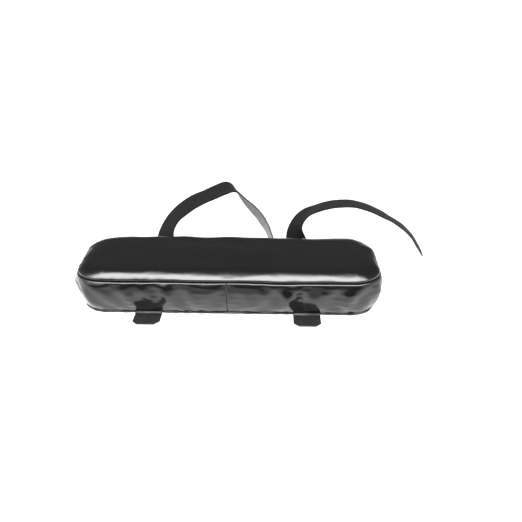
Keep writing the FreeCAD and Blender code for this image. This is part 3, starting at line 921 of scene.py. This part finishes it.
STATION = 64.0
ZIP_Y = 14.0
SLOT_HALF_X, SLOT_HALF_Y = 100.0, 5.0


def make_cover_bottom():
    """The underside, flat on the floor, with a turned hem round the zip's slot."""
    along = side_by_side(FINE_LONG, FINE_SHORT)
    _, outward = plan(along)
    ones = np.ones(len(along))
    radius = 1.0
    bend = arc((5.1, radius), radius, 90, -90, 15)
    bend[:, 1] = np.clip(bend[:, 1], 0, 1.98)
    lead = np.array([[7.2, bend[0, 1]], [6.0, bend[0, 1]]])
    flat = np.array([[7.0, 0.0], [10.0, 0.0], [14.0, 0.0]])
    profile = np.vstack([lead, bend, flat])
    ring = around(along, profile[:, :1] * ones, profile[:, 1:] * ones)
    from_station = np.abs(np.abs(ring[0, :, 0]) - STATION)
    crossing = np.abs(outward[:, 1]) * (1 - smooth(from_station, 11.5, 17))
    gather = pucker(51, along, (8, 26)) * 0.22 * (1 - crossing) - 0.4 * crossing
    weight = np.exp(-((profile[:, 0] - 4.1) / 0.9) ** 2)[:, None]
    ring[..., :2] += (gather * weight)[..., None] * outward[None]
    outer = ring[-1, :, :2]
    rows = [ring]
    inner = slot_loop(along, SLOT_HALF_X + 0.7, SLOT_HALF_Y + 0.7, 1.5, ZIP_Y)
    for share in (0.25, 0.5, 0.75, 0.93):
        level = (1 - share) * outer + share * inner
        rows.append(np.concatenate([level, np.zeros((len(along), 1))], axis=1)[None])
    hem = [(0.7, 0.0), (0.43, 0.05), (0.2, 0.2), (0.05, 0.43), (0.0, 0.7), (0.0, 2.0), (0.0, 3.3),
           (0.06, 3.65), (0.25, 3.9), (0.55, 4.05), (2.0, 4.08), (3.6, 4.08)]
    for out, height in hem:
        loop = slot_loop(along, SLOT_HALF_X + out, SLOT_HALF_Y + out, 1.0 + out * 0.5, ZIP_Y)
        rows.append(np.concatenate([loop, height * ones[:, None]], axis=1)[None])
    points = np.concatenate(rows, axis=0)
    piece = mesh_piece("cover_bottom", points.reshape(-1, 3),
                       quads_of(len(points), len(along), True), LEATHER,
                       "bottom_panel")
    store(piece, "seam_rub", np.zeros(points.shape[:2]))
    thicken(piece, 0.5)
    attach(piece, "pad")


def make_foam():
    """The foam block inside the cover, with its chamber over the zip."""
    long_count, short_count = 120, 36
    along = side_by_side(long_count, short_count)
    ones = np.ones(len(along))
    inward = 3.2
    crown = top_profile(12)
    crown = np.stack([crown[:, 0] + inward * 0.8, crown[:, 1] - inward * 0.75], axis=1)
    crown[0, 0] = RING
    crown = crown[crown[:, 0] <= RING + 1e-6]
    side = band_profile(9)
    side = np.stack([side[:, 0] + inward, side[:, 1]], axis=1)[1:-1]
    foot = np.array([[8.6, 2.6], [9.6, 1.9], [11.5, 1.8]])
    profile = np.vstack([crown, side, foot])
    ring = around(along, profile[:, :1] * ones, profile[:, 1:] * ones)
    rows = [ring]
    outer = ring[-1, :, :2]
    for share, height in ((0.5, 1.8), (1.0, 1.8), (1.0, 4.2), (1.0, 6.6)):
        inner = slot_loop(along, 107.0, 15.5, 1.5, ZIP_Y)
        level = (1 - share) * outer + share * inner
        rows.append(np.concatenate([level, height * ones[:, None]], axis=1)[None])
    points = np.concatenate(rows, axis=0)
    total, count = len(points), len(along)
    roof, roof_faces = middle_grid(points[0], long_count, short_count)
    ceiling, ceiling_faces = middle_grid(points[-1], long_count, short_count)
    first_roof = total * count
    first_ceiling = first_roof + len(roof)
    roof_faces = np.where(roof_faces < count, roof_faces, roof_faces - count + first_roof)
    ceiling_faces = np.where(
        ceiling_faces < count,
        ceiling_faces + (total - 1) * count,
        ceiling_faces - count + first_ceiling,
    )[:, ::-1]
    everything = np.vstack([points.reshape(-1, 3), roof, ceiling])
    faces = np.vstack([quads_of(total, count, True), roof_faces, ceiling_faces])
    piece = mesh_piece("foam_block", everything, faces, FOAM, "foam_core", "pad")


def capsules(segments, radius, sides=8):
    """Points and faces of short rounded stitches between pairs of points."""
    segments = np.asarray(segments, float)
    first, last = segments[:, 0], segments[:, 1]
    axis = last - first
    axis = unit(axis)
    helper = np.where(np.abs(axis[:, 2:3]) > 0.8, [[1.0, 0, 0]], [[0, 0, 1.0]])
    one = unit(np.cross(axis, helper))
    circle = circles(one, np.cross(axis, one), sides)
    profile = [(-0.75, 0.35), (-0.45, 0.8), (0.2, 1.0), (0.2, 1.0), (-0.45, 0.8), (-0.75, 0.35)]
    rings = []
    for index, (back, wide) in enumerate(profile):
        end = first if index < 3 else last
        way = 1 if index < 3 else -1
        centre = end + axis * back * radius * way
        rings.append(centre[:, None] + circle * radius * wide)
    points = np.stack(rings, axis=1)
    single = tube_faces(len(profile), sides, flip=True)
    size = len(profile) * sides
    faces = [[v + copy * size for v in face] for copy in range(len(segments)) for face in single]
    return points.reshape(-1, 3), faces


def seam_stitches(name, node, inset, height, wander):
    """Separate stitches down in one of the long seams."""
    pitch = 3.0
    count = int(AROUND / pitch)
    along = AROUND * np.arange(count) / count
    line = [around(along + off, np.full((1, count), inset), np.full((1, count), height))[0]
            for off in (-1.15, 1.15)]
    lift = seam_line(along) * wander
    segments = np.stack(line, axis=1)
    segments[..., 2] += lift[:, None]
    points, faces = capsules(segments, 0.27)
    mesh_piece(name, points, faces, THREAD, node, "pad")


def joint_stitches():
    """Stitches down the joint of the band."""
    profile = band_profile(400)
    length = 27.0
    marks = np.linspace(0, 399, int(length / 2.6) + 1).astype(int)
    segments = []
    for low, high in zip(marks[:-1], marks[1:]):
        gap = max(1, (high - low) // 8)
        ends = [profile[low + gap], profile[high - gap]]
        segments.append([(0.0, -(HALF_WIDTH - inset - 1.35), height) for inset, height in ends])
    points, faces = capsules(segments, 0.25)
    mesh_piece("joint_stitches", points, faces, THREAD, "band_joint_thread", "pad")


make_cover_top()
make_cover_band()
make_cover_bottom()
make_foam()
seam_stitches("top_seam_stitches", "top_seam_thread", 3.2, TOP_SEAM, 1.0)
seam_stitches("bottom_seam_stitches", "bottom_seam_thread", 5.9, BOTTOM_SEAM, 0.0)
joint_stitches()


# ---------------------------------------------------------------- straps and tabs

LEFT_ROUTE = [
    ((-64.0, 38.4, 0.9), (1.0, 0.0, 0.0)),
    ((-64.5, 50.0, 2.5), (1.0, 0.0, 0.0)),
    ((-65.5, 60.0, 7.0), (0.97, -0.2, 0.05)),
    ((-66.5, 68.5, 19.0), (0.8, -0.6, 0.1)),
    ((-61.3, 73.0, 33.0), (0.47, -0.88, -0.1)),
    ((-51.5, 75.0, 43.5), (0.29, -0.92, -0.24)),
    ((-40.5, 75.5, 51.5), (0.19, -0.95, -0.26)),
    ((-28.5, 76.0, 57.5), (0.14, -0.97, -0.22)),
    ((-17.0, 76.5, 62.5), (0.15, -0.96, -0.22)),
    ((-6.0, 77.0, 66.0), (0.02, -0.99, -0.12)),
    ((1.0, 77.0, 64.0), (0.13, -0.97, 0.21)),
    ((7.0, 77.0, 57.0), (0.32, -0.92, 0.22)),
    ((15.5, 77.0, 46.5), (0.42, -0.84, 0.35)),
    ((26.5, 77.0, 31.5), (0.41, -0.87, 0.25)),
    ((34.0, 77.0, 14.0), (0.31, -0.94, 0.11)),
    ((38.5, 77.0, -5.0), (0.23, -0.97, 0.06)),
]
RIGHT_ROUTE = [
    ((64.0, 38.4, 0.9), (1.0, 0.0, 0.0)),
    ((64.0, 50.0, 2.5), (1.0, 0.0, 0.0)),
    ((62.0, 61.0, 8.0), (0.97, -0.2, 0.05)),
    ((57.5, 67.5, 18.0), (0.85, -0.5, 0.1)),
    ((57.0, 71.5, 28.5), (0.55, -0.82, 0.1)),
    ((61.5, 74.0, 37.0), (0.22, -0.96, 0.0)),
    ((72.0, 75.0, 45.0), (0.01, -1.0, 0.04)),
    ((88.0, 75.5, 50.5), (0.01, -1.0, 0.07)),
    ((104.0, 76.0, 52.0), (0.05, -1.0, 0.07)),
    ((119.0, 77.0, 49.5), (0.08, -1.0, 0.04)),
    ((134.0, 78.0, 43.5), (0.08, -1.0, 0.03)),
    ((148.0, 79.0, 35.0), (0.1, -0.99, 0.04)),
    ((161.0, 80.0, 26.0), (0.08, -1.0, 0.0)),
    ((172.5, 81.0, 13.1), (0.01, -1.0, -0.07)),
    ((183.0, 82.0, -1.7), (0.01, -1.0, -0.07)),
]
STRAP_LENGTH = 204.5
STRAP_HALF = 11.0
STRAP_THICK = 1.4


def spline(knots, values, marks):
    """Natural cubic spline through values at knots, read at marks."""
    count = len(knots)
    step = np.diff(knots)
    system = np.eye(count)
    right = np.zeros_like(values)
    for i in range(1, count - 1):
        system[i, i - 1 : i + 2] = step[i - 1], 2 * (step[i - 1] + step[i]), step[i]
        right[i] = 6 * (
            (values[i + 1] - values[i]) / step[i] - (values[i] - values[i - 1]) / step[i - 1]
        )
    bend = np.linalg.solve(system, right)
    span = np.clip(np.searchsorted(knots, marks, side="right") - 1, 0, count - 2)
    h = step[span][:, None]
    a = (knots[span + 1] - marks)[:, None]
    b = (marks - knots[span])[:, None]
    return (
        bend[span] * a**3 / (6 * h)
        + bend[span + 1] * b**3 / (6 * h)
        + (values[span] / h - bend[span] * h / 6) * a
        + (values[span + 1] / h - bend[span + 1] * h / 6) * b
    )


def ribbon_frame(route, lead, length, spacing):
    """Centres, tangents and across directions at even spacing along a strap's route."""
    places = np.array([lead] + [point for point, _ in route])
    across = unit(np.array([(1.0, 0, 0)] + [way for _, way in route]))
    knots = run_along(places)
    dense = np.linspace(0, knots[-1], 4000)
    line = spline(knots, places, dense)
    run = run_along(line)
    count = int(length / spacing) + 1
    marks = np.interp(np.linspace(0, length, count), run, dense)
    centre = spline(knots, places, marks)
    ahead = spline(knots, places, marks + 0.05) - spline(knots, places, marks - 0.05)
    tangent = unit(ahead)
    wide = spline(knots, across, marks)
    wide -= tangent * (wide * tangent).sum(axis=1, keepdims=True)
    return centre, tangent, unit(wide), np.linspace(0, length, count)


def tape_section(half, thick, fine):
    """Across and through places round a tape's section, with rounded edges."""
    radius = thick / 2
    flat = np.linspace(-(half - radius), half - radius, fine)
    turn = np.radians([-60, -30, 0, 30, 60])
    upper = [(u, radius) for u in flat]
    right = [(half - radius + radius * math.cos(t), radius * math.sin(t)) for t in turn[::-1]]
    lower = [(u, -radius) for u in flat[::-1]]
    left = [(-(half - radius) - radius * math.cos(t), radius * math.sin(t)) for t in turn]
    return np.array(upper + right + lower + left)


def make_strap(name, node, route):
    """One strap: brushed loop pile on its outer face and a woven back."""
    side = math.copysign(1, route[0][0][0])
    lead = (route[0][0][0], 34.9, 2.02)
    centre, tangent, wide, run = ribbon_frame(route, lead, STRAP_LENGTH, 0.8)
    through = np.cross(tangent, wide)
    section = tape_section(STRAP_HALF, STRAP_THICK, 30)
    u, v = section[:, 0], section[:, 1]
    draw = 61 if side < 0 else 62
    thin = (0.42 + 0.58 * smooth(run, 0.5, 4.5))[:, None]
    height = v[None] * thin
    along = run[:, None]
    pile = waves(draw, along * 1.9, u[None] * 1.0, (1.6, 4.5), 40) * 0.055
    on_pile = ((v < -0.3) * 1.0)[None]
    height = height - pile * on_pile * smooth(along, 2, 6)
    width = 1 + 0.006 * waves(draw + 4, along, 0.0, (18, 70), 12)
    cup = 0.22 * waves(draw + 8, along, 0.0, (40, 90), 8) * ((u / STRAP_HALF) ** 2)[None]
    ripple = 0.16 * waves(draw + 12, along, u[None] * 0.6, (16, 40), 14)
    ripple *= smooth(along, 10, 30) * (1 - smooth(along, STRAP_LENGTH - 16, STRAP_LENGTH))
    body = (height + cup * smooth(along, 8, 24) + ripple)[..., None] * through[:, None]
    points = centre[:, None] + (u[None] * width)[..., None] * wide[:, None] + body
    points[..., 2] = np.maximum(points[..., 2], 0.04)
    rows, columns = points.shape[:2]
    back = (np.zeros((rows - 1, columns), int) + (v[None] > 0.3)).ravel()
    faces = tube_faces(rows, columns)
    piece = mesh_piece(name, points.reshape(-1, 3), faces, PILE, node)
    piece.data.materials.append(BACKING)
    slots = np.concatenate([back, [0, 0]])
    piece.data.polygons.foreach_set("material_index", slots.astype(np.int32))
    store(piece, "across", np.broadcast_to(u[None], (rows, columns)))
    store(piece, "along", np.broadcast_to(along, (rows, columns)))
    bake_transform(piece)


def hook_shape():
    """One small moulded hook: points and faces, standing on the origin and leaning over in X."""
    path = np.array([(0, 0, 0), (0.0, 0, 0.3), (0.03, 0, 0.52), (0.16, 0, 0.66), (0.34, 0, 0.62),
                     (0.42, 0, 0.48)])
    wide = [0.16, 0.12, 0.11, 0.1, 0.09, 0.05]
    points, sides = [], 5
    turn = np.linspace(0, 2 * math.pi, sides, endpoint=False)
    for i, centre in enumerate(path):
        ahead = path[min(i + 1, len(path) - 1)] - path[max(i - 1, 0)]
        ahead = ahead / np.linalg.norm(ahead)
        one = np.array([0, 1.0, 0])
        two = np.cross(ahead, one)
        for t in turn:
            points.append(centre + wide[i] * (math.cos(t) * one + math.sin(t) * two))
    faces = []
    for ring in range(len(path) - 1):
        for k in range(sides):
            a, b = ring * sides + k, ring * sides + (k + 1) % sides
            faces.append([a, b, b + sides, a + sides])
    faces.append([(len(path) - 1) * sides + k for k in range(sides)])
    return np.array(points), faces


def make_tab(name, node, station):
    """A tab of hook tape, hooks up, with clipped corners and a plain edge."""
    near, far, half, clip, thick = -34.6, -52.8, 11.0, 4.0, 0.62
    ys = np.linspace(near, far, 44)
    width = half - np.clip(clip - (ys - far), 0, None)
    run = near - ys
    base = 0.3 + 1.72 * (1 - smooth(run, 0.2, 3.0))
    curl = 0.3 * smooth(run, 8, 18) * (1 + 0.2 * np.sin(station))
    section = tape_section(1.0, 0.0001, 30)
    u = section[:, 0] / np.abs(section[:, 0]).max()
    v = np.sign(section[:, 1]) * (np.abs(section[:, 1]) > 2e-5)
    past = np.clip((np.abs(u) * half - (half - 0.3)) / 0.3, 0, 1)
    rounding = np.sqrt(np.clip(1 - past**2, 0, 1))
    thin = (0.6 + 0.4 * smooth(run, 0.3, 3.0))[:, None]
    x = station + u[None] * width[:, None]
    z = base[:, None] + curl[:, None] + v[None] * thick / 2 * rounding[None] * thin
    rate = 2 * math.pi / 1.4
    weave = 0.025 * np.sin(rate * u[None] * half) * np.sin(rate * run[:, None])
    z = np.maximum(z + weave * (v[None] > 0), 0.02)
    y = np.broadcast_to(ys[:, None], x.shape)
    points = np.stack([x, y, z], axis=2)
    rows, columns = x.shape
    all_points, all_faces = [points.reshape(-1, 3)], tube_faces(rows, columns, flip=True)
    hook, hook_faces = hook_shape()
    draw = np.random.default_rng(71 if station < 0 else 72)
    total = rows * columns
    pitch_x, pitch_y = 1.25, 1.15
    for j, hook_y in enumerate(np.arange(-39.6, far + 1.5, -pitch_y)):
        wide = half - 1.7 - max(0.0, clip - (hook_y - far))
        for hook_x in np.arange(-wide, wide, pitch_x):
            height = np.interp(-hook_y, -ys, base + curl) + thick / 2 - 0.04
            lean = 1 if (j % 2) else -1
            turn = draw.normal() * 0.12
            shape = hook * (lean, 1, 0.88 + 0.1 * draw.random())
            c, d = math.cos(turn), math.sin(turn)
            spun = shape @ np.array([[c, d, 0], [-d, c, 0], [0, 0, 1]])
            spun += (station + hook_x + draw.normal() * 0.05, hook_y, height)
            all_points.append(spun)
            order = hook_faces if lean > 0 else [face[::-1] for face in hook_faces]
            all_faces.extend([[k + total for k in face] for face in order])
            total += len(hook)
    merged = np.vstack(all_points)
    piece = mesh_piece(name, merged, all_faces, HOOKS, node)
    store(piece, "across", merged[:, 0] - station)
    store(piece, "along", -merged[:, 1])
    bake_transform(piece)


make_strap("strap_left_tape", "strap_left", LEFT_ROUTE)
make_strap("strap_right_tape", "strap_right", RIGHT_ROUTE)
make_tab("tab_left_tape", "tab_left", -STATION)
make_tab("tab_right_tape", "tab_right", STATION)


# ---------------------------------------------------------------- zip

def make_zip_tape(name, node, near, far):
    """A woven tape with a fine rib, as a thin closed slab."""
    xs = np.linspace(-104.0, 104.0, 240)
    section = tape_section((far - near) / 2, 0.5, 18)
    u, v = section[:, 0], section[:, 1]
    rib = 0.03 * np.sin(2 * math.pi * (xs[:, None] + np.abs(u)[None]) / 1.6)
    z = 4.5 + v[None] + rib * np.sign(v)[None]
    x = np.broadcast_to(xs[:, None], z.shape)
    y = np.broadcast_to((near + far) / 2 + u[None], z.shape)
    points = np.stack([x, y, z], axis=2)
    rows, columns = z.shape
    faces = tube_faces(rows, columns)
    piece = mesh_piece(name, points.reshape(-1, 3), faces, ZIP_TAPE, node, "pad")
    store(piece, "across", np.broadcast_to(u[None], (rows, columns)))
    store(piece, "along", x)


def make_chain(name, node, edge, heads, shift):
    """One row of the chain: a flattened coil of nylon with its heads towards the other row."""
    pitch, wire, turns, steps = 1.27, 0.27, 149, 14
    total = turns * steps
    t = np.arange(total + 1) / steps
    angle = 2 * math.pi * t
    middle, half = (edge + heads) / 2, abs(heads - edge) / 2 - wire
    side = math.copysign(1, heads - edge)
    x = -turns * pitch / 2 + pitch * (t + shift) + 0.16 * np.sin(2 * angle)
    y = middle + side * half * np.cos(angle)
    z = 3.58 + 0.36 * np.sin(angle)
    path = np.stack([x, y, z], axis=1)
    ahead = unit(np.gradient(path, axis=0))
    one = unit(np.cross(ahead, (1.0, 0, 0)))
    sides = 6
    swell = wire * (1 + 0.25 * np.clip(np.cos(angle), 0, 1) ** 6)
    points = path[:, None] + circles(one, np.cross(ahead, one), sides) * swell[:, None, None]
    faces = tube_faces(len(path), sides, flip=True)
    mesh_piece(name, points.reshape(-1, 3), faces, CHAIN, node, "pad")


def zip_stitches():
    """Stitches that hold the tapes, on the underside and inside."""
    segments = []
    for y in (ZIP_Y - 7.0, ZIP_Y + 7.0):
        for start in np.arange(-103.0, 101.5, 3.0):
            segments.append([(start + 0.3, y, 5.05), (start + 2.4, y, 5.05)])
    points, faces = capsules(segments, 0.2)
    mesh_piece("zip_stitches", points, faces, THREAD, "zipper_stitching", "pad")


make_zip_tape("zip_tape_front", "zipper_tape_front", 0.4, 13.4)
make_zip_tape("zip_tape_rear", "zipper_tape_rear", 14.6, 27.6)
make_chain("zip_chain_front", "zipper_coil_front", 10.8, 13.95, 0.0)
make_chain("zip_chain_rear", "zipper_coil_rear", 17.2, 14.05, 0.5)
zip_stitches()

for node in ("zipper_slider", "zipper_pull", "zipper_top_stops", "zipper_bottom_stop"):
    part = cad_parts[node]
    part.data.materials.clear()
    part.data.materials.append(METAL)
    bevel = part.modifiers.new("bevel", "BEVEL")
    bevel.width = 0.22 * MM
    bevel.segments = 3
    bevel.limit_method = "ANGLE"


# ---------------------------------------------------------------- stage and light

def make_stage():
    """A wide pale floor."""
    half = 14.0
    mesh = bpy.data.meshes.new("floor")
    mesh.from_pydata(
        [(-half, -half, 0), (half, -half, 0), (half, half, 0), (-half, half, 0)], [], [(0, 1, 2, 3)]
    )
    mesh.materials.append(floor_material())
    floor = bpy.data.objects.new("floor", mesh)
    scene.collection.objects.link(floor)


def make_world():
    """A dark studio with one broad soft light overhead and a faint glow behind and at the sides."""
    world = bpy.data.worlds.new("studio")
    world.use_nodes = True
    scene.world = world
    tree = Tree(world.node_tree)
    coords = tree.add("ShaderNodeTexCoord")
    split = tree.add("ShaderNodeSeparateXYZ", {"Vector": coords.outputs["Generated"]})
    x, y, z = (split.outputs[axis] for axis in "XYZ")
    wide = tree.math("POWER", tree.math("MULTIPLY", x, 0.5), 2.0)
    deep = tree.math("POWER", tree.math("ADD", y, 0.28), 2.0)
    reach = tree.math("SQRT", tree.math("ADD", wide, deep))
    overhead = tree.add(
        "ShaderNodeMapRange",
        {"Value": reach, "From Min": 0.08, "From Max": 0.56, "To Min": 15.0, "To Max": 0.0},
        interpolation_type="SMOOTHERSTEP",
    ).outputs["Result"]
    behind = tree.between(y, -0.2, 0.85, 0.02, 0.12)
    side = tree.math("MULTIPLY", tree.between(tree.math("ABSOLUTE", x), 0.7, 1.0, 0.0, 1.0), 0.8)
    above = tree.math("ADD", tree.math("ADD", overhead, behind), side)
    glow = tree.mix(tree.between(z, -0.01, 0.01, 0.0, 1.0), (1.2, 1.2, 1.2, 1), above)
    seen = tree.add("ShaderNodeLightPath").outputs["Is Camera Ray"]
    tone = tree.mix(seen, glow, (1.0, 1.0, 1.0, 1))
    world.node_tree.links.new(tone, world.node_tree.nodes["Background"].inputs["Color"])


make_stage()
make_world()
scene.view_settings.view_transform = "Standard"
scene.cycles.use_denoising = True
